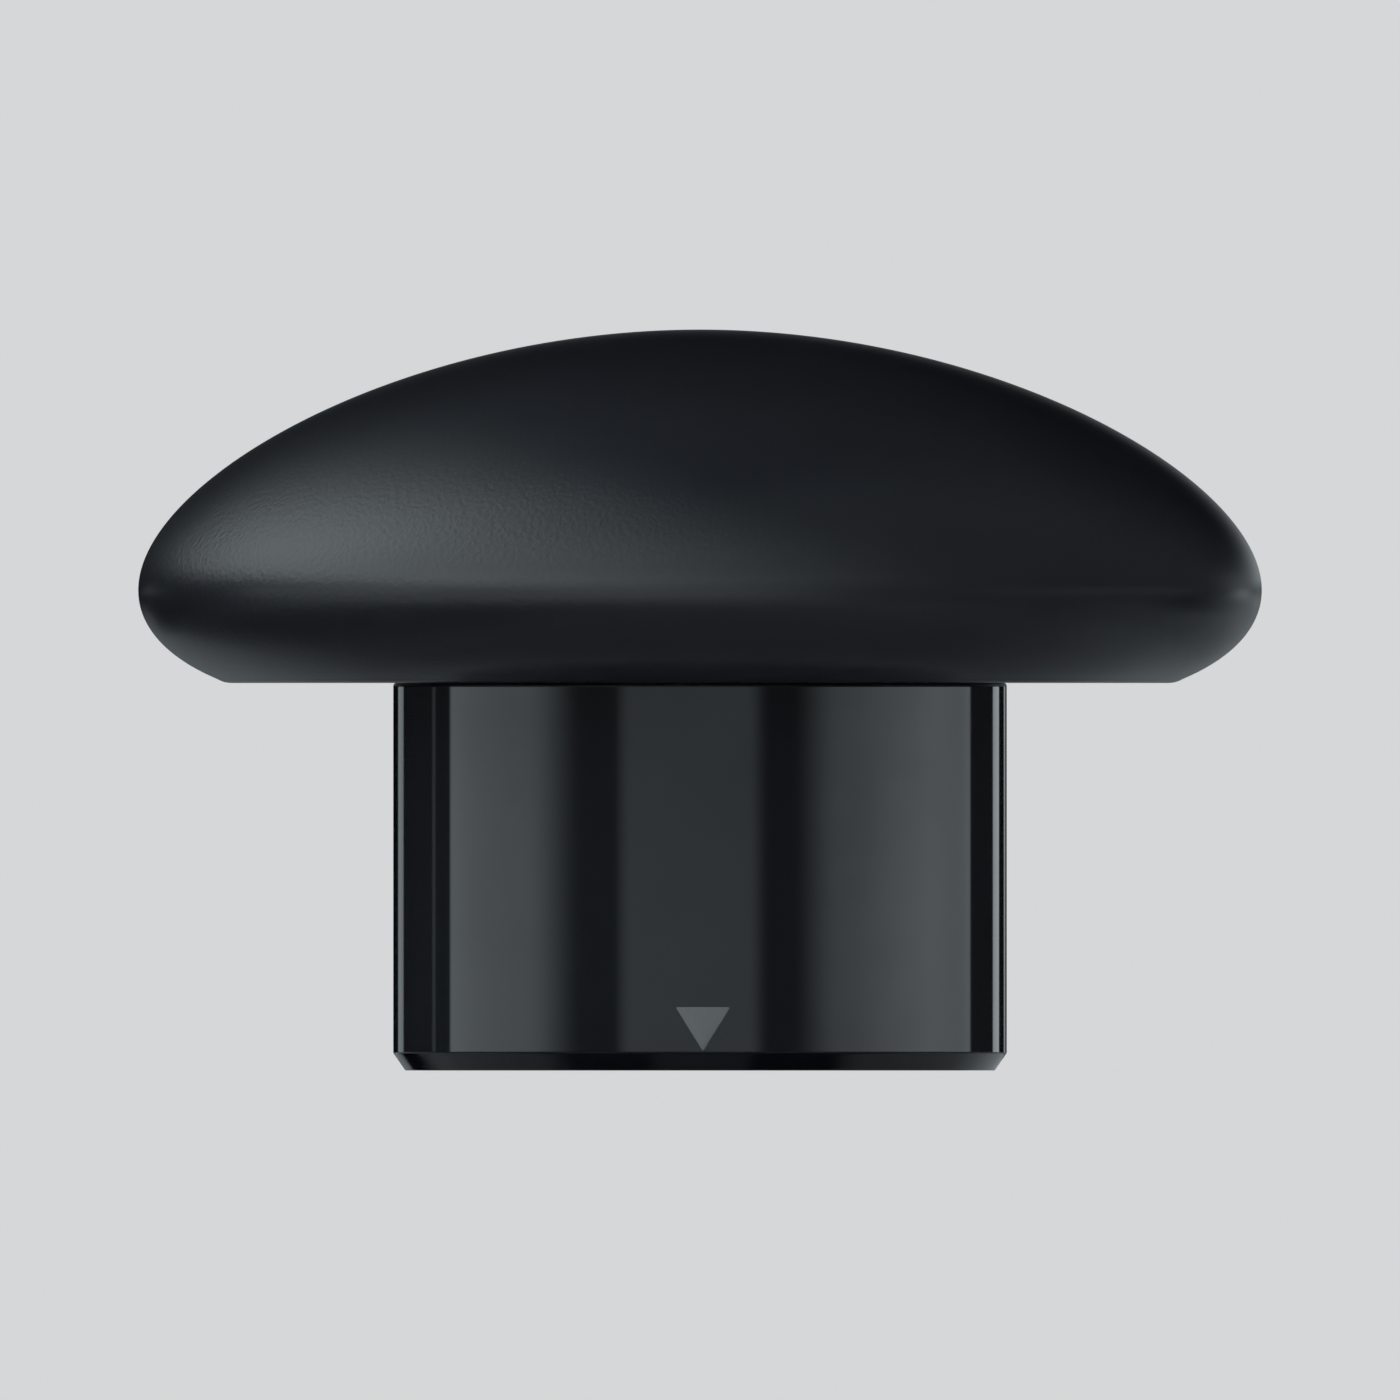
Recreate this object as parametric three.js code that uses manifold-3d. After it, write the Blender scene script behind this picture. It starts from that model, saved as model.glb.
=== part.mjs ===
// A push-on thumbstick cap: a matt domed head moulded over the grooved spigot of a gloss barrel.
// The barrel is hollow from below and pushes down over a stick's post, where three grip ribs and a
// wider key rib hold it. A small printed triangle on the barrel shows which way round it goes.
// Millimetres, +Z up. The origin is the centre of the rim that the barrel stands on, and the key
// rib and the printed triangle are on the -Y side.
import * as THREE from 'three';
import { mergeVertices } from 'three/addons/utils/BufferGeometryUtils.js';
import Module from 'manifold-3d';

// Head: a full crown over a low rim, with a flat underside
const HEAD_DIAMETER = 18.5;
const HEAD_HEIGHT = 5.82;
const RIM_HEIGHT = 1.53; // from the underside to the widest point
const UNDERSIDE_DIAMETER = 15.66;
const UNDERSIDE_EDGE = 0.12; // round where the side runs into the flat underside
const CROWN_FULLNESS = 0.53; // ratio: how far out the crown stays level
const SHOULDER_FULLNESS = 0.425; // ratio: how far up the side stays upright
const UNDERCUT_FULLNESS = 0.64; // ratio: how far down the side stays upright
const UNDERCUT_ANGLE = 28.6; // degrees from level, where the side reaches the underside

// Barrel, from the rim that it stands on up to the shoulder that carries the head
const BARREL_DIAMETER = 10.1;
const BARREL_LENGTH = 6.38;
const FOOT_CHAMFER_HEIGHT = 0.285;
const FOOT_CHAMFER_WIDTH = 0.2;
const SHOULDER_WIDTH = 1.45;
const SHOULDER_EDGE = 0.05;

// Spigot above the shoulder, with the groove that locks the head on
const GROOVE_START = 0.8; // above the shoulder
const GROOVE_WIDTH = 0.9;
const GROOVE_DEPTH = 0.5;
const COLLAR_HEIGHT = 0.9; // above the groove
const COLLAR_EDGE = 0.3;
const MOULD_GAP = 0.03; // between the head and the spigot

// Socket for the stick's post
const SOCKET_WALL = 1.35;
const SOCKET_ROOF = 1.38; // below the shoulder
const MOUTH_CHAMFER = 0.25;
const RIB_HEIGHT = 0.5;
const GRIP_RIB_WIDTH = 0.8;
const KEY_RIB_WIDTH = 1.6;
const RIB_SETBACK = 0.7; // from the mouth to the foot of a rib
const RIB_ROOT = 0.3; // how far a rib is sunk into the wall and the roof

// Printed triangle, point down
const MARK_WIDTH = 0.91;
const MARK_HEIGHT = 0.735;
const MARK_LIFT = 0.025; // above the foot chamfer
const INK_THICKNESS = 0.03;

// How finely the round stretches are drawn
const TURN_SEGMENTS = 72;
const CROWN_STEPS = 16;
const UNDERCUT_STEPS = 6;
const EDGE_STEPS = 2;

const headRadius = HEAD_DIAMETER / 2;
const barrelRadius = BARREL_DIAMETER / 2;
const spigotRadius = barrelRadius - SHOULDER_WIDTH;
const spigotHeight = GROOVE_START + GROOVE_WIDTH + COLLAR_HEIGHT;
const boreRadius = barrelRadius - SOCKET_WALL;
const roofHeight = BARREL_LENGTH - SOCKET_ROOF;

const wasm = await Module();
wasm.setup();

// Solids and meshes

function solidOf(geometry) {
  const bare = geometry.clone();
  bare.deleteAttribute('normal');
  bare.deleteAttribute('uv');
  const merged = mergeVertices(bare);
  return new wasm.Manifold(
    new wasm.Mesh({
      numProp: 3,
      vertProperties: new Float32Array(merged.attributes.position.array),
      triVerts: new Uint32Array(merged.index.array),
    }),
  );
}

function geometryOf(solid) {
  const { vertProperties, triVerts } = solid.getMesh();
  const geometry = new THREE.BufferGeometry();
  geometry.setAttribute('position', new THREE.BufferAttribute(vertProperties, 3));
  geometry.setIndex(new THREE.BufferAttribute(triVerts, 1));
  geometry.computeVertexNormals();
  return geometry;
}

// Profiles, as points of radius and height that are turned about the Z axis

const point = (radius, height) => new THREE.Vector2(radius, height);

function turned(profile) {
  return new THREE.LatheGeometry(profile, TURN_SEGMENTS).rotateX(Math.PI / 2);
}

// The side view of the head from the edge of the flat underside up to the top of the crown, in
// heights above the underside.
function headOutline() {
  const angle = THREE.MathUtils.degToRad(UNDERCUT_ANGLE);
  const slope = point(Math.cos(angle), Math.sin(angle));
  const corner = point(UNDERSIDE_DIAMETER / 2, 0);
  const foot = corner.clone().addScaledVector(slope, UNDERSIDE_EDGE);
  const edge = new THREE.QuadraticBezierCurve(point(corner.x - UNDERSIDE_EDGE, 0), corner, foot);
  const undercut = new THREE.CubicBezierCurve(
    foot,
    foot.clone().addScaledVector(slope, UNDERSIDE_EDGE),
    point(headRadius, RIM_HEIGHT * (1 - UNDERCUT_FULLNESS)),
    point(headRadius, RIM_HEIGHT),
  );
  const crown = new THREE.CubicBezierCurve(
    point(headRadius, RIM_HEIGHT),
    point(headRadius, RIM_HEIGHT + (HEAD_HEIGHT - RIM_HEIGHT) * SHOULDER_FULLNESS),
    point(headRadius * CROWN_FULLNESS, HEAD_HEIGHT),
    point(0, HEAD_HEIGHT),
  );
  return [
    ...edge.getPoints(EDGE_STEPS),
    ...undercut.getPoints(UNDERCUT_STEPS).slice(1),
    ...crown.getPoints(CROWN_STEPS).slice(1),
  ];
}

// The side view of the spigot from the shoulder up to its top, in heights above the shoulder. A
// gap makes it larger all round, as the head's cavity is.
function spigotOutline(gap) {
  const radius = spigotRadius + gap;
  const neck = radius - GROOVE_DEPTH;
  const grooveFoot = GROOVE_START + gap;
  const grooveTop = GROOVE_START + GROOVE_WIDTH - gap;
  const top = spigotHeight + gap;
  return [
    point(radius, 0),
    point(radius, grooveFoot),
    point(neck, grooveFoot),
    point(neck, grooveTop),
    point(radius, grooveTop),
    point(radius, top - COLLAR_EDGE),
    point(radius - COLLAR_EDGE, top),
    point(0, top),
  ];
}

// Head, placed on the barrel's shoulder

function headGeometry() {
  const cavity = spigotOutline(MOULD_GAP).reverse();
  return turned([...cavity, ...headOutline()]);
}

// Barrel

function barrelProfile() {
  const spigot = spigotOutline(0).map(({ x, y }) => point(x, BARREL_LENGTH + y));
  return [
    point(0, roofHeight),
    point(boreRadius, roofHeight),
    point(boreRadius, MOUTH_CHAMFER),
    point(boreRadius + MOUTH_CHAMFER, 0),
    point(barrelRadius - FOOT_CHAMFER_WIDTH, 0),
    point(barrelRadius, FOOT_CHAMFER_HEIGHT),
    point(barrelRadius, BARREL_LENGTH - SHOULDER_EDGE),
    point(barrelRadius - SHOULDER_EDGE, BARREL_LENGTH),
    ...spigot,
  ];
}

// A rib down the socket's wall: its side view with a sloped foot, given its width and then turned
// to its place.
function ribGeometry(width, turn) {
  const crest = boreRadius - RIB_HEIGHT;
  const root = boreRadius + RIB_ROOT;
  const top = roofHeight + RIB_ROOT;
  const sideView = new THREE.Shape([
    point(root, RIB_SETBACK),
    point(root, top),
    point(crest, top),
    point(crest, RIB_SETBACK + RIB_HEIGHT),
    point(boreRadius, RIB_SETBACK),
  ]);
  return new THREE.ExtrudeGeometry(sideView, { depth: width, bevelEnabled: false })
    .translate(0, 0, -width / 2)
    .rotateX(Math.PI / 2)
    .rotateZ(turn);
}

function barrelGeometry() {
  const quarterTurn = Math.PI / 2;
  const gripRibs = [0, 1, 2].map((i) => ribGeometry(GRIP_RIB_WIDTH, i * quarterTurn));
  const keyRib = ribGeometry(KEY_RIB_WIDTH, -quarterTurn);
  const shell = solidOf(turned(barrelProfile()));
  return geometryOf([...gripRibs, keyRib].reduce((whole, rib) => whole.add(solidOf(rib)), shell));
}

// Printed triangle: the part of a thin sleeve on the barrel that lies inside a triangular prism

function markGeometry() {
  const tip = FOOT_CHAMFER_HEIGHT + MARK_LIFT;
  const base = tip + MARK_HEIGHT;
  const outline = new THREE.Shape([
    point(0, tip),
    point(MARK_WIDTH / 2, base),
    point(-MARK_WIDTH / 2, base),
  ]);
  const prism = new THREE.ExtrudeGeometry(outline, { depth: BARREL_DIAMETER, bevelEnabled: false })
    .rotateX(Math.PI / 2);
  const sleeve = turned([
    point(barrelRadius, 0),
    point(barrelRadius + INK_THICKNESS, 0),
    point(barrelRadius + INK_THICKNESS, BARREL_LENGTH),
    point(barrelRadius, BARREL_LENGTH),
    point(barrelRadius, 0),
  ]);
  return geometryOf(solidOf(sleeve).intersect(solidOf(prism)));
}

// Materials, in the colours that the pieces show

const mattBlack = new THREE.MeshStandardMaterial({ color: 0x1b1c1f, roughness: 0.5, metalness: 0 });
const glossBlack = new THREE.MeshStandardMaterial({ color: 0x0b0c0e, roughness: 0.08, metalness: 0 });
const greyInk = new THREE.MeshStandardMaterial({ color: 0x5c6164, roughness: 0.55, metalness: 0 });

function piece(name, geometry, material, height) {
  const mesh = new THREE.Mesh(geometry, material);
  mesh.name = name;
  mesh.position.z = height;
  return mesh;
}

const cap = new THREE.Group();
cap.add(
  piece('domed_head', headGeometry(), mattBlack, BARREL_LENGTH),
  piece('stem_barrel', barrelGeometry(), glossBlack, 0),
  piece('index_mark', markGeometry(), greyInk, 0),
);

export default cap;
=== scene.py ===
import math

import bpy
import numpy as np
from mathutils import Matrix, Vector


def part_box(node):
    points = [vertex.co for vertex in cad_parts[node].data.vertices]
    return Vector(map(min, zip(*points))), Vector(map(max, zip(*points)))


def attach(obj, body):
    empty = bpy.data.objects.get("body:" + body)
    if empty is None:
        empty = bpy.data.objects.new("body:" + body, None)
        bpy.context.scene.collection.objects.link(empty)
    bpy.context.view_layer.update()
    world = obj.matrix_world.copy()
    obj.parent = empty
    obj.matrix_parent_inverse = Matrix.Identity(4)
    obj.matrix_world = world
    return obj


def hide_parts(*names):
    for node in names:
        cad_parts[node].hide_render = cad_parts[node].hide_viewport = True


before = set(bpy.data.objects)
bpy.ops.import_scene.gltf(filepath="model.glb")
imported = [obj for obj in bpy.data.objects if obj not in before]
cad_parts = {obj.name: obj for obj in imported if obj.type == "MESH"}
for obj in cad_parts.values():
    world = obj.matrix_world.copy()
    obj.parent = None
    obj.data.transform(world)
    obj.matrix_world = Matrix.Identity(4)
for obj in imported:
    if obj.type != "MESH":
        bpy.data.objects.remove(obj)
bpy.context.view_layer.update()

# A push-on thumbstick cap: a matt domed head on a gloss barrel, with a small printed triangle.
# Everything is in metres, +Z up, and the printed triangle faces -Y.

MM = 0.001
head_low, head_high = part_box("domed_head")
barrel_low, barrel_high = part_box("stem_barrel")
mark_low, mark_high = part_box("index_mark")

# Sizes that the frame gives
HEAD_RADIUS = (head_high[0] - head_low[0]) / 2
HEAD_FOOT = head_low[2]
HEAD_TOP = head_high[2]
BARREL_RADIUS = (barrel_high[0] - barrel_low[0]) / 2
SPIGOT_TOP = barrel_high[2]
MARK_WIDTH = mark_high[0] - mark_low[0]
MARK_TIP = mark_low[2]
MARK_TOP = mark_high[2]

# Head
RIM_RISE = 1.53 * MM  # from the underside to the widest point
UNDERSIDE_RADIUS = 7.83 * MM
UNDERSIDE_EDGE = 0.12 * MM
CROWN_FULLNESS = 0.53
SHOULDER_FULLNESS = 0.425
UNDERCUT_FULLNESS = 0.64
UNDERCUT_SLOPE = math.radians(28.6)

# Barrel
FOOT_CHAMFER_HEIGHT = 0.285 * MM
FOOT_CHAMFER_WIDTH = 0.2 * MM
SHOULDER_EDGE = 0.05 * MM
SHOULDER_WIDTH = 1.45 * MM
SPIGOT_RADIUS = BARREL_RADIUS - SHOULDER_WIDTH
GROOVE_FOOT = HEAD_FOOT + 0.8 * MM
GROOVE_TOP = GROOVE_FOOT + 0.9 * MM
GROOVE_DEPTH = 0.5 * MM
COLLAR_EDGE = 0.3 * MM
MOULD_GAP = 0.03 * MM

# Socket
BORE_RADIUS = BARREL_RADIUS - 1.35 * MM
SOCKET_ROOF = HEAD_FOOT - 1.38 * MM
MOUTH_CHAMFER = 0.25 * MM
RIB_HEIGHT = 0.5 * MM
RIB_SETBACK = 0.7 * MM
GRIP_RIB_WIDTH = 0.8 * MM
KEY_RIB_WIDTH = 1.6 * MM
FLANK_SPREAD = 1.6  # degrees on each side of a rib's flank that get extra points

# Small roundings that every moulded or printed edge has
CRISP = 0.015 * MM
SOFT = 0.04 * MM
FILLET = 0.15 * MM
INK = 0.012 * MM


# Meshes


def closed_mesh(name, first, rings, last):
    """A closed mesh from a stack of rings with as many points in each: neighbours are joined by
    quads, and the first and last rings are closed by fans to one point each. It faces outwards
    where the rings turn anticlockwise and climb on the outside."""
    count, around, _ = rings.shape
    points = np.concatenate([[first], rings.reshape(-1, 3), [last]])
    here = 1 + np.arange(count * around).reshape(count, around)
    beside = np.roll(here, -1, axis=1)
    quads = np.stack([here[:-1], beside[:-1], beside[1:], here[1:]], axis=-1).reshape(-1, 4)
    start = np.stack([np.zeros(around, int), beside[0], here[0]], axis=-1)
    end = np.stack([here[-1], beside[-1], np.full(around, len(points) - 1)], axis=-1)
    mesh = bpy.data.meshes.new(name)
    mesh.from_pydata(points.tolist(), [], start.tolist() + quads.tolist() + end.tolist())
    mesh.polygons.foreach_set("use_smooth", np.ones(len(mesh.polygons), bool))
    piece = bpy.data.objects.new(name, mesh)
    bpy.context.scene.collection.objects.link(piece)
    return piece


def between(a, b, steps):
    """Points on the straight from a to b, close together near both ends, without b. The first and
    last steps are short, which holds the shading of the straight flat right up to its edges."""
    hold = min(CRISP / max(np.linalg.norm(b - a), CRISP), 1 / steps)
    middle = (1 - np.cos(np.linspace(0, math.pi, steps - 1))) / 2
    share = np.concatenate([[0], hold + (1 - 2 * hold) * middle])
    return a + (b - a) * share[:, None]


def bezier(*controls, steps):
    """Points of the curve with these control points, by repeated mixing of neighbours."""
    share = np.linspace(0, 1, steps + 1)[:, None]
    rows = [np.broadcast_to(np.array(c, float), (steps + 1, 2)) for c in controls]
    while len(rows) > 1:
        rows = [a * (1 - share) + b * share for a, b in zip(rows, rows[1:])]
    return rows[0]


def outline(corners, steps=10, turn_steps=6):
    """Outline through corners of (radius, height, rounding). Each corner is cut off at its
    rounding from both sides, and a quadratic curve that aims at the corner joins the cuts."""
    places = np.array([corner[:2] for corner in corners], float)
    cuts = [corner[2] for corner in corners]
    made = []
    leave = places[0]
    for before, corner, after, cut in zip(places, places[1:], places[2:], cuts[1:]):
        reach = corner + (before - corner) / np.linalg.norm(before - corner) * cut
        depart = corner + (after - corner) / np.linalg.norm(after - corner) * cut
        made += [between(leave, reach, steps), bezier(reach, corner, depart, steps=turn_steps)[:-1]]
        leave = depart
    return np.concatenate([*made, between(leave, places[-1], steps), places[-1:]])


def turned(name, profile, angles, inset=None):
    """A profile of (radius, height) points carried round the Z axis through the angles. The
    profile starts and ends on the axis. Inset takes an amount off the radius, by point and angle."""
    radius = np.repeat(profile[1:-1, :1], len(angles), axis=1)
    if inset is not None:
        radius = radius - inset
    height = np.repeat(profile[1:-1, 1:], len(angles), axis=1)
    rings = np.stack([radius * np.cos(angles), radius * np.sin(angles), height], axis=-1)
    return closed_mesh(name, (0, 0, profile[0, 1]), rings, (0, 0, profile[-1, 1]))


def smooth_step(value):
    """A ramp from 0 to 1 that starts and ends level."""
    share = np.clip(value, 0, 1)
    return share * share * (3 - 2 * share)


# Head


def spigot_corners(gap):
    """The corners of the spigot above the shoulder, made larger all round by a gap."""
    radius = SPIGOT_RADIUS + gap
    neck = radius - GROOVE_DEPTH
    top = SPIGOT_TOP + gap
    return [
        (radius, GROOVE_FOOT + gap, SOFT),
        (neck, GROOVE_FOOT + gap, SOFT),
        (neck, GROOVE_TOP - gap, SOFT),
        (radius, GROOVE_TOP - gap, SOFT),
        (radius, top - COLLAR_EDGE, SOFT),
        (radius - COLLAR_EDGE, top, SOFT),
        (0, top, 0),
    ]


def head_profile():
    """The cavity that grips the spigot, then the flat underside with a small round at its edge, a
    cubic curve up the undercut to the rim, and a second one from the rim over the crown."""
    widest = HEAD_FOOT + RIM_RISE
    slope = np.array([math.cos(UNDERCUT_SLOPE), math.sin(UNDERCUT_SLOPE)])
    corner = np.array([UNDERSIDE_RADIUS, HEAD_FOOT])
    foot = corner + slope * UNDERSIDE_EDGE
    cavity = outline(
        [
            *spigot_corners(MOULD_GAP)[::-1],
            (SPIGOT_RADIUS + MOULD_GAP, HEAD_FOOT, CRISP),
            (UNDERSIDE_RADIUS - UNDERSIDE_EDGE, HEAD_FOOT, 0),
        ]
    )
    edge = bezier(cavity[-1], corner, foot, steps=10)
    undercut = bezier(
        foot,
        foot + slope * UNDERSIDE_EDGE,
        (HEAD_RADIUS, HEAD_FOOT + RIM_RISE * (1 - UNDERCUT_FULLNESS)),
        (HEAD_RADIUS, widest),
        steps=40,
    )
    crown = bezier(
        (HEAD_RADIUS, widest),
        (HEAD_RADIUS, widest + (HEAD_TOP - widest) * SHOULDER_FULLNESS),
        (HEAD_RADIUS * CROWN_FULLNESS, HEAD_TOP),
        (0, HEAD_TOP),
        steps=110,
    )
    return np.concatenate([cavity[:-1], edge[:-1], undercut[:-1], crown])


def even_angles(count):
    """Angles all the way round, the same step apart."""
    return np.arange(count) * 2 * math.pi / count


head = turned("head_moulding", head_profile(), even_angles(288))


# Barrel


# The turn of each rib round the socket, in degrees, and its width
RIBS = [(0, GRIP_RIB_WIDTH), (90, GRIP_RIB_WIDTH), (180, GRIP_RIB_WIDTH), (270, KEY_RIB_WIDTH)]


def rib_angles():
    """Even angles, with more of them close to the flanks of each rib."""
    crest = BORE_RADIUS - RIB_HEIGHT
    fan = np.radians(np.linspace(-FLANK_SPREAD, FLANK_SPREAD, 13))
    flanks = [
        math.radians(turn) + side * math.asin(width / 2 / crest) + fan
        for turn, width in RIBS
        for side in (-1, 1)
    ]
    everything = np.concatenate([even_angles(240), *flanks]) % (2 * math.pi)
    apart = np.radians(0.1)
    return np.unique(np.round(everything / apart)) * apart


def rib_inset(profile, angles, wall_points):
    """How far the ribs stand in from the socket's wall and roof. Across a rib, the crest is a flat
    at the rib's height, with flanks that ramp down to the wall. Up the wall it ramps in from the
    rib's foot, and across the roof it shrinks in proportion to the radius."""
    crest = BORE_RADIUS - RIB_HEIGHT
    across = np.zeros(len(angles))
    for turn, width in RIBS:
        off = (angles - math.radians(turn) + math.pi) % (2 * math.pi) - math.pi
        side = np.abs(BORE_RADIUS * np.sin(off))
        flat = crest / np.maximum(np.cos(off), 0.5)  # the 0.5 matters only away from the rib
        ahead = np.cos(off) > 0
        flank = 1 - smooth_step((side - width / 2) / (2 * SOFT))
        across = np.maximum(across, np.where(ahead, (BORE_RADIUS - flat) * flank, 0))
    height = profile[1:-1, 1]
    up = smooth_step((height - RIB_SETBACK) / RIB_HEIGHT) * profile[1:-1, 0] / BORE_RADIUS
    up = np.where(np.arange(len(height)) < wall_points, up, 0)
    return up[:, None] * across[None, :]


def barrel_piece():
    """The socket from its roof down to the mouth, the rim that the barrel stands on, the chamfer,
    the wall up to the shoulder, and the spigot above it."""
    socket = outline(
        [
            (0, SOCKET_ROOF, 0),
            (BORE_RADIUS, SOCKET_ROOF, FILLET),
            (BORE_RADIUS, MOUTH_CHAMFER, CRISP),
            (BORE_RADIUS + MOUTH_CHAMFER / 2, MOUTH_CHAMFER / 2, 0),
        ],
        steps=28,
    )
    outside = outline(
        [
            (BORE_RADIUS + MOUTH_CHAMFER / 2, MOUTH_CHAMFER / 2, 0),
            (BORE_RADIUS + MOUTH_CHAMFER, 0, CRISP),
            (BARREL_RADIUS - FOOT_CHAMFER_WIDTH, 0, CRISP),
            (BARREL_RADIUS, FOOT_CHAMFER_HEIGHT, CRISP),
            (BARREL_RADIUS, HEAD_FOOT, SHOULDER_EDGE),
            (SPIGOT_RADIUS, HEAD_FOOT, CRISP),
            *spigot_corners(0),
        ]
    )
    profile = np.concatenate([socket[:-1], outside])
    angles = rib_angles()
    return turned("barrel_moulding", profile, angles, rib_inset(profile, angles, len(socket)))


barrel = barrel_piece()


# Printed triangle


def mark_piece():
    """A triangle, point down, wrapped on the barrel. Rings grow from its middle to its rounded
    outline as the face of the ink, which falls away at the edge, and shrink again as its back."""
    half = MARK_WIDTH / 2
    rounding = 0.045 * MM
    triangle = [(-half, MARK_TOP), (half, MARK_TOP), (0, MARK_TIP)]
    corners = [(*place, rounding) for place in triangle]
    start = (-half / 2, (MARK_TOP + MARK_TIP) / 2, 0)
    edge = outline([start, *corners, start], steps=16, turn_steps=8)[:-1]
    middle = np.array([0, MARK_TIP + (MARK_TOP - MARK_TIP) * 2 / 3])
    face = np.concatenate([np.linspace(0.1, 0.9, 9), [0.94, 0.97, 0.99, 1]])
    back = np.linspace(0.9, 0.1, 5)
    share = np.concatenate([face, back])
    lift = np.concatenate([INK * (1 - face**24), np.full(len(back), -INK / 4)])
    flat = middle + (edge - middle)[None] * share[:, None, None]
    radius = BARREL_RADIUS + lift[:, None]
    turn = flat[..., 0] / BARREL_RADIUS
    rings = np.stack([radius * np.sin(turn), -radius * np.cos(turn), flat[..., 1]], axis=-1)
    first = (0, -BARREL_RADIUS - INK, middle[1])
    last = (0, -BARREL_RADIUS + INK / 4, middle[1])
    return closed_mesh("ink_triangle", first, rings, last)


mark = mark_piece()


# Materials


def linear(colour):
    """The linear value of a colour written as sRGB hex."""
    share = np.array([(colour >> shift & 255) / 255 for shift in (16, 8, 0)])
    value = np.where(share <= 0.04045, share / 12.92, ((share + 0.055) / 1.055) ** 2.4)
    return (*value.tolist(), 1.0)


def new_material(name):
    """A material with only its output node, ready for nodes to be added."""
    material = bpy.data.materials.new(name)
    material.use_nodes = True
    material.node_tree.nodes.clear()
    return material


def add(owner, kind, values=None, links=None, **settings):
    """Adds a node to a material or world: settings on the node, values on its inputs, and links
    into its inputs from other nodes' outputs."""
    tree = owner.node_tree
    node = tree.nodes.new(kind)
    for name, value in settings.items():
        setattr(node, name, value)
    for name, value in (values or {}).items():
        node.inputs[name].default_value = value
    for name, (source, output) in (links or {}).items():
        tree.links.new(source.outputs[output], node.inputs[name])
    return node


def dress(piece, material, node):
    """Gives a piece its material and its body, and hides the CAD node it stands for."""
    piece.data.materials.append(material)
    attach(piece, "root")
    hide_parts(node)


def matt_elastomer():
    """Near-black thermoplastic elastomer from a spark-eroded mould. The grain of the mould breaks
    up the light, so that highlights are broad and soft with a fine sparkle in them. Thumbs have
    rubbed it down on the crown and on one side, where the surface looks smoother."""
    # Spark grain is about 0.03 mm wide, too fine to show, so it is drawn three times as coarse
    grain_size = 0.09 * MM
    grain_depth = 0.02 * MM
    blotch_size = 2.2 * MM

    # The height at which the grain starts, over how much it comes in, and its strength below
    grain_foot = HEAD_FOOT + 1.5 * MM
    grain_fade = 1.0 * MM
    grain_below = 0.15

    # Where it is rubbed down, up the crown and from left to right, and what is left of it there
    rubbed_foot = HEAD_TOP - 4.6 * MM
    rubbed_top = HEAD_TOP - 1.8 * MM
    rubbed_left = -5 * MM
    rubbed_right = 2 * MM
    crown_grain = 0.1
    right_grain = 0.2

    material = new_material("matt_elastomer_spark_grain")
    place = add(material, "ShaderNodeTexCoord")
    grain = add(
        material,
        "ShaderNodeTexNoise",
        {"Scale": 1 / grain_size, "Detail": 1.5, "Roughness": 0.5},
        {"Vector": (place, "Object")},
    )
    blotch = add(
        material,
        "ShaderNodeTexNoise",
        {"Scale": 1 / blotch_size, "Detail": 3.0, "Roughness": 0.5},
        {"Vector": (place, "Object")},
    )
    colour = add(
        material,
        "ShaderNodeMix",
        {"A": linear(0x15161A), "B": linear(0x191A20)},
        {"Factor": (blotch, "Fac")},
        data_type="RGBA",
    )
    sheen = add(
        material,
        "ShaderNodeMapRange",
        {"From Min": 0.3, "From Max": 0.7, "To Min": 0.278, "To Max": 0.296},
        {"Value": (blotch, "Fac")},
    )
    along = add(material, "ShaderNodeSeparateXYZ", links={"Vector": (place, "Object")})
    shoulder = add(
        material,
        "ShaderNodeMapRange",
        {"From Min": grain_foot, "From Max": grain_foot + grain_fade, "To Min": grain_below},
        {"Value": (along, "Z")},
        interpolation_type="SMOOTHSTEP",
    )
    rubbed = add(
        material,
        "ShaderNodeMapRange",
        {"From Min": rubbed_foot, "From Max": rubbed_top, "To Min": 1.0, "To Max": crown_grain},
        {"Value": (along, "Z")},
        interpolation_type="SMOOTHSTEP",
    )
    sideways = add(
        material,
        "ShaderNodeMapRange",
        {"From Min": rubbed_left, "From Max": rubbed_right, "To Min": 1.0, "To Max": right_grain},
        {"Value": (along, "X")},
        interpolation_type="SMOOTHSTEP",
    )
    kept = add(
        material,
        "ShaderNodeMath",
        links={0: (rubbed, "Result"), 1: (sideways, "Result")},
        operation="MULTIPLY",
    )
    strength = add(
        material,
        "ShaderNodeMath",
        links={0: (shoulder, "Result"), 1: (kept, "Value")},
        operation="MULTIPLY",
    )
    bump = add(
        material,
        "ShaderNodeBump",
        {"Distance": grain_depth},
        {"Height": (grain, "Fac"), "Strength": (strength, "Value")},
    )
    shader = add(
        material,
        "ShaderNodeBsdfPrincipled",
        {"IOR": 1.5},
        {"Base Color": (colour, "Result"), "Roughness": (sheen, "Result"), "Normal": (bump, "Normal")},
    )
    add(material, "ShaderNodeOutputMaterial", links={"Surface": (shader, "BSDF")})
    return material


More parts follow.
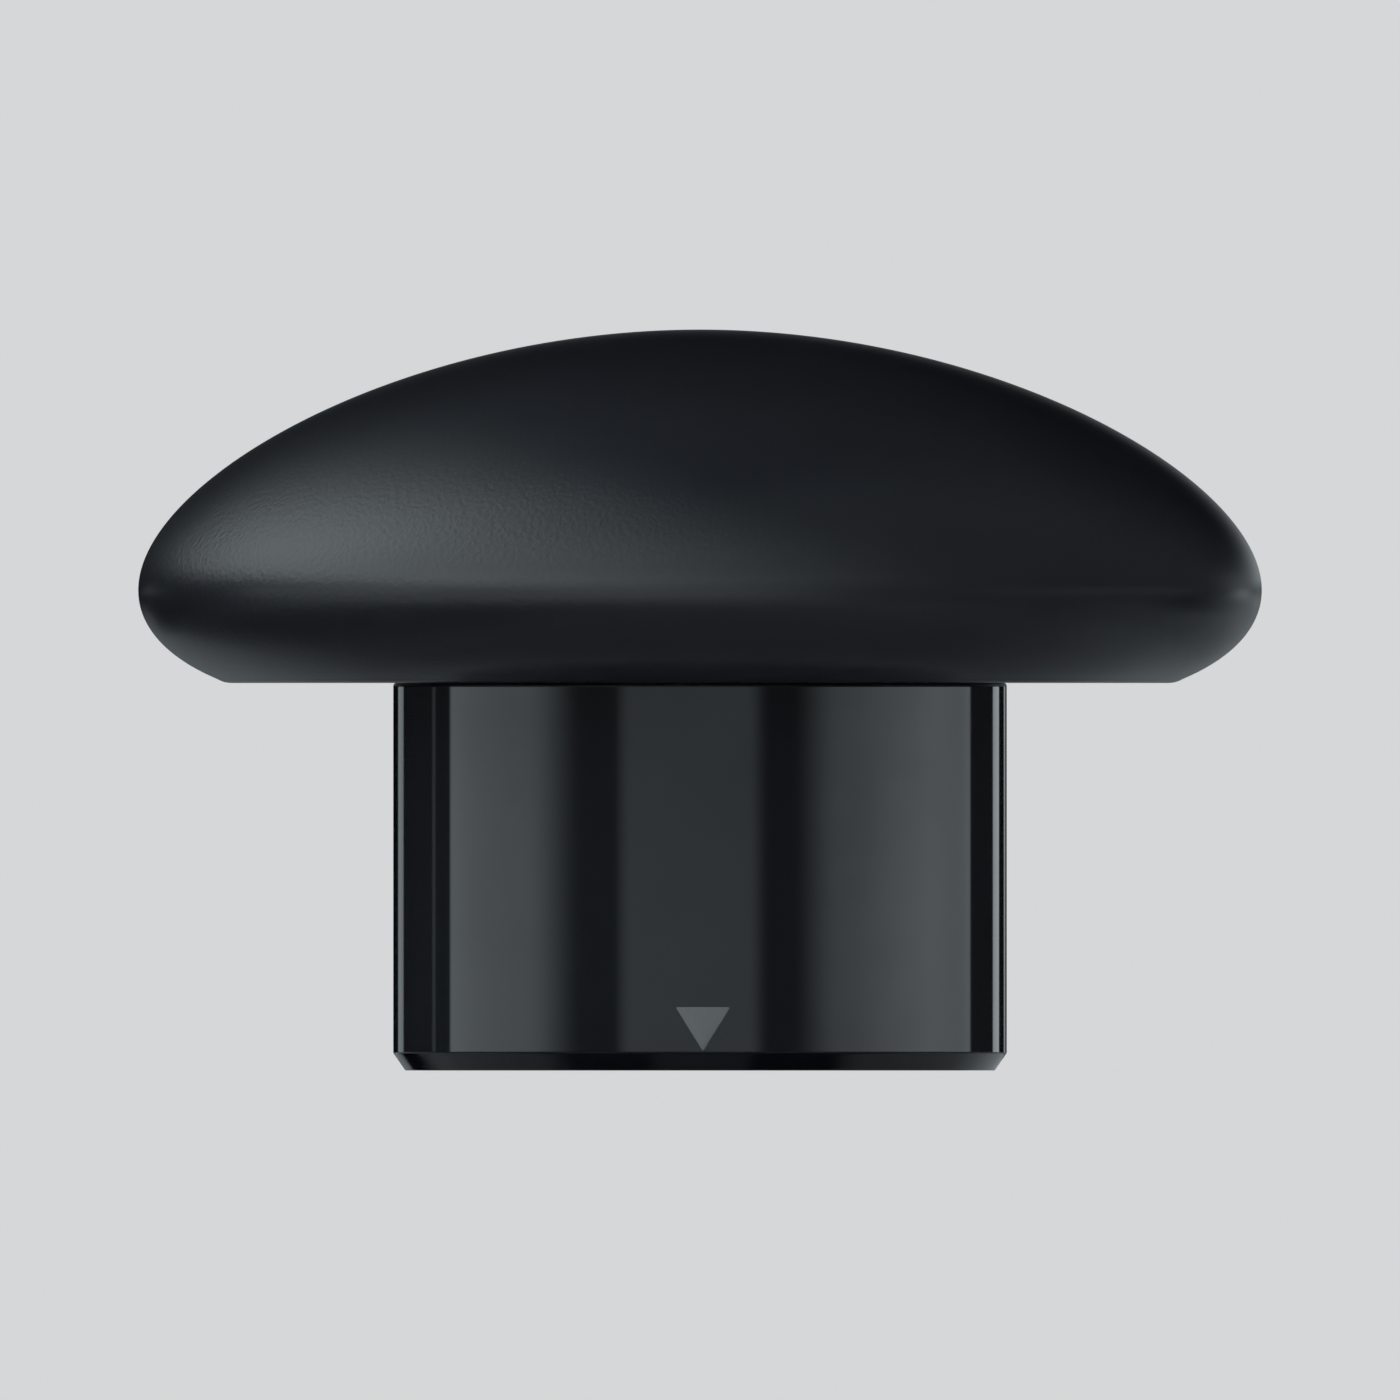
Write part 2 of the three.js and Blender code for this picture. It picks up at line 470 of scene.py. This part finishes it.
def gloss_abs():
    """Near-black ABS from a polished mould. It mirrors the lamps as clean bands, and its faint
    flow and handling haze softens them a little in places."""
    haze_size = 1.6 * MM
    ripple_size = 0.9 * MM
    ripple_depth = 0.0004 * MM
    material = new_material("gloss_abs_polished_mould")
    place = add(material, "ShaderNodeTexCoord")
    haze = add(
        material,
        "ShaderNodeTexNoise",
        {"Scale": 1 / haze_size, "Detail": 4.0, "Roughness": 0.55},
        {"Vector": (place, "Object")},
    )
    ripple = add(
        material,
        "ShaderNodeTexNoise",
        {"Scale": 1 / ripple_size, "Detail": 1.0},
        {"Vector": (place, "Object")},
    )
    colour = add(
        material,
        "ShaderNodeMix",
        {"A": linear(0x0D0F13), "B": linear(0x101217)},
        {"Factor": (haze, "Fac")},
        data_type="RGBA",
    )
    gloss = add(
        material,
        "ShaderNodeMapRange",
        {"From Min": 0.3, "From Max": 0.7, "To Min": 0.045, "To Max": 0.065},
        {"Value": (haze, "Fac")},
    )
    bump = add(
        material,
        "ShaderNodeBump",
        {"Strength": 0.2, "Distance": ripple_depth},
        {"Height": (ripple, "Fac")},
    )
    shader = add(
        material,
        "ShaderNodeBsdfPrincipled",
        {"IOR": 1.54},
        {"Base Color": (colour, "Result"), "Roughness": (gloss, "Result"), "Normal": (bump, "Normal")},
    )
    add(material, "ShaderNodeOutputMaterial", links={"Surface": (shader, "BSDF")})
    return material


def pad_print_ink():
    """Grey pad-printing ink, one thin coat: flat and even, with a faint mottle from the pad."""
    mottle_size = 0.07 * MM
    mottle_depth = 0.001 * MM
    material = new_material("pad_print_ink_grey")
    place = add(material, "ShaderNodeTexCoord")
    mottle = add(
        material,
        "ShaderNodeTexNoise",
        {"Scale": 1 / mottle_size, "Detail": 2.0},
        {"Vector": (place, "Object")},
    )
    colour = add(
        material,
        "ShaderNodeMix",
        {"A": linear(0x5F6163), "B": linear(0x666869)},
        {"Factor": (mottle, "Fac")},
        data_type="RGBA",
    )
    bump = add(
        material,
        "ShaderNodeBump",
        {"Strength": 0.3, "Distance": mottle_depth},
        {"Height": (mottle, "Fac")},
    )
    shader = add(
        material,
        "ShaderNodeBsdfPrincipled",
        {"IOR": 1.48, "Roughness": 0.6},
        {"Base Color": (colour, "Result"), "Normal": (bump, "Normal")},
    )
    add(material, "ShaderNodeOutputMaterial", links={"Surface": (shader, "BSDF")})
    return material


dress(head, matt_elastomer(), "domed_head")
dress(barrel, gloss_abs(), "stem_barrel")
dress(mark, pad_print_ink(), "index_mark")


# Camera: level and without perspective, as the photograph's is

FRAME_WIDTH = 23.05 * MM
FRAME_MIDDLE = 6.10 * MM
CAMERA_TURN = math.radians(-0.57)
CAMERA_DISTANCE = 300 * MM

lens = bpy.data.cameras.new("camera")
lens.type = "ORTHO"
lens.ortho_scale = FRAME_WIDTH
lens.clip_start = 1 * MM
lens.clip_end = 10
camera = bpy.data.objects.new("camera", lens)
camera.location = (
    CAMERA_DISTANCE * math.sin(CAMERA_TURN),
    -CAMERA_DISTANCE * math.cos(CAMERA_TURN),
    FRAME_MIDDLE,
)
camera.rotation_euler = (math.pi / 2, 0, CAMERA_TURN)
bpy.context.scene.collection.objects.link(camera)
bpy.context.scene.camera = camera


# Studio: a pale floor and world, soft lamps all round, and dark card behind that only gloss sees

# The backdrop's colour, and the floor's, which the lamps light to about the same
PALE = 0xD6D7D8
FLOOR_PALE = 0xEADFDD

# Painted reflection: tones that the near floor shows only in mirrored light, standing in for light and
# shade low round the cap, by how far to the right of the cap's middle, how far to each side they
# reach, and how much they lean
PAINTED_REFLECTION_TONES = [
    (-16 * MM, 0x3A3B3E),
    (-13 * MM, 0x5C5D60),
    (-10.5 * MM, 0x88898C),
    (-4 * MM, 0x8E8F92),
    (4 * MM, 0xA8A9AC),
    (14 * MM, 0xA8A9AC),
    (18 * MM, 0x848588),
    (45 * MM, 0x7C7D80),
]
PAINTED_REFLECTION_SIDE = 50 * MM
PAINTED_REFLECTION_SLANT = 0.3

# The share of those painted tones: less in front of the cap (a painted darker reflection), all of them
# far out, and more close beside its foot (a painted brighter reflection)
FRONT_SHARE = 0.47
FRONT_SLANT = 0.25
FRONT_START = -5 * MM
FRONT_END = 2.5 * MM
OPEN_START = 15 * MM
BESIDE_SHARE = 1.8
BESIDE_START = 5.7 * MM
BESIDE_END = 7.1 * MM

# Radii of the floor's disc and rings, and of the spheres of the lamps and of the card, in metres
FOOT_RADIUS = BARREL_RADIUS + 0.6 * MM
NEAR_RADIUS = 30 * MM
FLOOR_RADIUS = 1.5
LAMP_DISTANCE = 1.2
CARD_DISTANCE = 1.6

LAMP_TINT = 0xEFFBFF
FILL = 0.35


def stage_mesh(name, points, faces, material):
    """A mesh that is part of the studio and not of the cap."""
    mesh = bpy.data.meshes.new(name)
    mesh.from_pydata(points.tolist(), [], faces.tolist())
    mesh.materials.append(material)
    thing = bpy.data.objects.new(name, mesh)
    bpy.context.scene.collection.objects.link(thing)
    return thing


def sky_patch(azimuths, heights, distance):
    """A grid on a sphere round the cap: azimuth 0 is towards the camera and 90 towards +X, and
    height is the angle above the floor, both in degrees."""
    turn, rise = np.meshgrid(np.radians(azimuths), np.radians(heights))
    points = distance * np.stack(
        [np.sin(turn) * np.cos(rise), -np.cos(turn) * np.cos(rise), np.sin(rise)], axis=-1
    )
    index = np.arange(turn.size).reshape(turn.shape)
    faces = np.stack([index[:-1, :-1], index[:-1, 1:], index[1:, 1:], index[1:, :-1]], axis=-1)
    return points.reshape(-1, 3), faces.reshape(-1, 4)


def faded(value, ends, widths):
    """1 between two ends and 0 outside them, with a smooth fade inward from each end."""
    return smooth_step((value - ends[0]) / widths[0]) * smooth_step((ends[1] - value) / widths[1])


def softbox(name, azimuths, fades, heights, height_fades, strength):
    """A soft lamp over a range of azimuths and heights. Its light fades in and out over the fade
    at each of its edges, held in the mesh as the attribute glow."""
    across = np.linspace(*azimuths, 61)
    up = np.linspace(heights[0], min(heights[1], 90), 31)
    glow = faded(up, heights, height_fades)[:, None] * faded(across, azimuths, fades)[None, :]
    material = new_material(name)
    amount = add(material, "ShaderNodeAttribute", attribute_name="glow")
    scaled = add(
        material, "ShaderNodeMath", {1: strength}, {0: (amount, "Fac")}, operation="MULTIPLY"
    )
    light = add(
        material,
        "ShaderNodeEmission",
        {"Color": linear(LAMP_TINT)},
        {"Strength": (scaled, "Value")},
    )
    clear = add(material, "ShaderNodeBsdfTransparent")
    both = add(
        material, "ShaderNodeAddShader", links={0: (light, "Emission"), 1: (clear, "BSDF")}
    )
    add(material, "ShaderNodeOutputMaterial", links={"Surface": (both, "Shader")})
    material.cycles.emission_sampling = "NONE"
    lamp = stage_mesh(name, *sky_patch(across, up, LAMP_DISTANCE), material)
    values = lamp.data.attributes.new("glow", "FLOAT", "POINT")
    values.data.foreach_set("value", glow.reshape(-1))
    lamp.visible_camera = False
    lamp.visible_shadow = False


def painted_reflection_tones(material):
    """The floor's colour in mirrored light, a painted reflection of light and shade low round the cap:
    a tone by how far it is to the side, times a share by how far it is in front of the cap or out from
    its axis. Both lean a little with the other way."""
    place = add(material, "ShaderNodeTexCoord")
    across = add(material, "ShaderNodeSeparateXYZ", links={"Vector": (place, "Object")})
    leaning = add(
        material,
        "ShaderNodeMath",
        {1: PAINTED_REFLECTION_SLANT},
        {0: (across, "Y"), 2: (across, "X")},
        operation="MULTIPLY_ADD",
    )
    side = add(
        material,
        "ShaderNodeMapRange",
        {"From Min": -PAINTED_REFLECTION_SIDE, "From Max": PAINTED_REFLECTION_SIDE},
        {"Value": (leaning, "Value")},
    )
    shade = add(material, "ShaderNodeValToRGB", links={"Fac": (side, "Result")})
    stops = shade.color_ramp.elements
    stops.remove(stops[0])
    for x, tone in PAINTED_REFLECTION_TONES:
        stops.new((x + PAINTED_REFLECTION_SIDE) / (2 * PAINTED_REFLECTION_SIDE)).color = linear(tone)
    stops.remove(stops[-1])
    slanted = add(
        material,
        "ShaderNodeMath",
        {1: FRONT_SLANT},
        {0: (across, "X"), 2: (across, "Y")},
        operation="MULTIPLY_ADD",
    )
    # Painted reflection: darker in front of the cap than behind it
    behind = add(
        material,
        "ShaderNodeMapRange",
        {"From Min": FRONT_START, "From Max": FRONT_END, "To Min": FRONT_SHARE},
        {"Value": (slanted, "Value")},
    )
    distance = add(
        material, "ShaderNodeVectorMath", links={0: (place, "Object")}, operation="LENGTH"
    )
    further = add(
        material,
        "ShaderNodeMapRange",
        {"From Min": OPEN_START, "From Max": NEAR_RADIUS},
        {"Value": (distance, "Value")},
    )
    wide_share = add(
        material,
        "ShaderNodeMath",
        links={0: (behind, "Result"), 1: (further, "Result")},
        operation="MAXIMUM",
    )
    # Painted reflection: brighter close beside the foot, for the barrel and its chamfer to mirror
    nearer = add(
        material,
        "ShaderNodeMapRange",
        {"From Min": BESIDE_START, "From Max": BESIDE_END, "To Min": BESIDE_SHARE, "To Max": 0.0},
        {"Value": (distance, "Value")},
        interpolation_type="SMOOTHSTEP",
    )
    share = add(
        material,
        "ShaderNodeMath",
        links={0: (wide_share, "Value"), 1: (nearer, "Result")},
        operation="MAXIMUM",
    )
    return add(
        material,
        "ShaderNodeVectorMath",
        links={"Vector": (shade, "Color"), "Scale": (share, "Value")},
        operation="SCALE",
    )


def pale_floor():
    """A round pale floor, matt, that keeps the cap's shadow. The ring near the cap is mirrored in
    dimmed, painted
    tones that run from side to side: a painted reflection of light and shade from low round the cap.
    The disc under the cap and the far ring aren't mirrored, so that gloss shows the lamps under the
    horizon."""
    material = new_material("pale_matt_floor")
    path = add(material, "ShaderNodeLightPath")
    # Painted reflection: the near floor's colour for mirrored light only
    painted_reflection = painted_reflection_tones(material)
    colour = add(
        material,
        "ShaderNodeMix",
        {"A": linear(FLOOR_PALE)},
        {"Factor": (path, "Is Glossy Ray"), "B": (painted_reflection, "Vector")},
        data_type="RGBA",
    )
    shader = add(
        material,
        "ShaderNodeBsdfPrincipled",
        {"Roughness": 0.9, "Specular IOR Level": 0.0},
        {"Base Color": (colour, "Result")},
    )
    add(material, "ShaderNodeOutputMaterial", links={"Surface": (shader, "BSDF")})
    angles = even_angles(96)
    circle = np.stack([np.cos(angles), np.sin(angles), 0 * angles], axis=-1)
    index = np.arange(len(angles))
    beside = np.roll(index, -1)
    ring = np.stack([index, index + len(angles), beside + len(angles), beside], axis=-1)
    foot = stage_mesh("floor_foot", FOOT_RADIUS * circle, index[None, :], material)
    near = np.concatenate([FOOT_RADIUS * circle, NEAR_RADIUS * circle])
    stage_mesh("floor_near", near, ring, material)
    far = np.concatenate([NEAR_RADIUS * circle, FLOOR_RADIUS * circle])
    far_floor = stage_mesh("floor_far", far, ring, material)
    foot.visible_glossy = False
    far_floor.visible_glossy = False


def dark_card():
    """Dark card all round, behind the lamps, that only mirrored light meets."""
    material = new_material("dark_card")
    shader = add(material, "ShaderNodeBsdfDiffuse", {"Color": (0, 0, 0, 1)})
    add(material, "ShaderNodeOutputMaterial", links={"Surface": (shader, "BSDF")})
    patch = sky_patch(np.linspace(0, 360, 73), np.linspace(-90, 90, 37), CARD_DISTANCE)
    card = stage_mesh("dark_card", *patch, material)
    card.visible_camera = False
    card.visible_diffuse = False
    card.visible_transmission = False
    card.visible_volume_scatter = False
    card.visible_shadow = False


def pale_world():
    """A pale backdrop for the camera, and for mirrored light where no card is in the way, and an
    even fill for the rest."""
    world = bpy.data.worlds.new("studio")
    world.use_nodes = True
    world.node_tree.nodes.clear()
    path = add(world, "ShaderNodeLightPath")
    seen_or_mirrored = add(
        world,
        "ShaderNodeMath",
        links={0: (path, "Is Camera Ray"), 1: (path, "Is Glossy Ray")},
        operation="MAXIMUM",
    )
    seen = add(
        world,
        "ShaderNodeMath",
        links={0: (seen_or_mirrored, "Value"), 1: (path, "Is Transmission Ray")},
        operation="MAXIMUM",
    )
    fill = add(world, "ShaderNodeBackground", {"Color": linear(LAMP_TINT), "Strength": FILL})
    backdrop = add(world, "ShaderNodeBackground", {"Color": linear(PALE), "Strength": 1.0})
    both = add(
        world,
        "ShaderNodeMixShader",
        links={0: (seen, "Value"), 1: (fill, "Background"), 2: (backdrop, "Background")},
    )
    add(world, "ShaderNodeOutputWorld", links={"Surface": (both, "Shader")})
    bpy.context.scene.world = world


pale_floor()
dark_card()
pale_world()

# Lamps above the horizon, for the head
softbox("lamp_overhead", (-162, 62), (70, 160), (5, 98), (14, 58), 1.93)
softbox("lamp_high_left", (-174, -60), (45, 60), (16, 78), (18, 40), 0.36)
softbox("lamp_front_high", (-115, 62), (75, 120), (1.0, 28), (1.5, 20), 1.2)
softbox("lamp_dim", (-150, 160), (60, 60), (2, 130), (8, 60), 0.14)
softbox("lamp_dim_back", (90, 270), (50, 50), (30, 130), (25, 60), 0.035)
softbox("lamp_back_right", (122, 178), (28, 6), (0.8, 12), (0.7, 9), 0.3)
softbox("lamp_rim", (154, 186), (12, 8), (0.8, 12), (0.7, 8), 0.42)

# Lamps under the horizon, for the head's undercut
softbox("lamp_front_under", (-125, 50), (85, 60), (-34, -0.8), (32, 0.5), 0.75)
softbox("lamp_dim_under", (-120, 130), (30, 30), (-30, -0.8), (8, 0.5), 0.11)
softbox("lamp_right_under", (45, 105), (35, 30), (-4, -0.7), (0.3, 0.3), 0.17)
softbox("lamp_back_right_under", (125, 178), (28, 6), (-30, -0.8), (8, 0.5), 0.34)
softbox("lamp_back_left_under", (-190, -160), (8, 5), (-24, -2), (8, 3), 0.24)

# Lamps level with the cap, which the gloss barrel mirrors as its bands
softbox("lamp_low_dim", (-180, 180), (120, 120), (-0.7, 0.7), (0.3, 0.3), 0.09)
softbox("lamp_left", (-110.1, -45), (1.5, 25), (-4, 0.7), (3, 0.3), 1.3)
softbox("lamp_front", (-34.3, 25.2), (8, 8), (-4, 0.7), (0.3, 0.3), 0.64)
softbox("lamp_right", (34, 123.5), (20, 1.5), (-0.7, 0.7), (0.3, 0.3), 0.96)
softbox("lamp_right_middle", (50, 118), (35, 25), (-0.7, 0.7), (0.3, 0.3), 0.53)
softbox("strip_right", (144, 154), (1.5, 1.5), (-4, 0.7), (3, 0.3), 1.05)
softbox("strip_far_right", (162.5, 169), (1.5, 1.5), (-4, 0.7), (3, 0.3), 0.43)
softbox("strip_left", (-160, -150), (1.5, 1.5), (-0.7, 0.7), (0.3, 0.3), 0.51)
softbox("strip_faint", (-122.5, -119), (1, 1), (-0.7, 0.7), (0.3, 0.3), 0.2)

# Lamps that the foot chamfer mirrors past the floor
softbox("lamp_foot_left", (-152, -78), (15, 18), (-70, -14), (4, 4), 0.21)
softbox("lamp_foot_right", (78, 148), (16, 10), (-70, -14), (4, 4), 0.22)
softbox("lamp_foot_front", (-42, 42), (16, 16), (-84, -58), (3, 3), 0.09)

bpy.context.scene.view_settings.view_transform = "Standard"
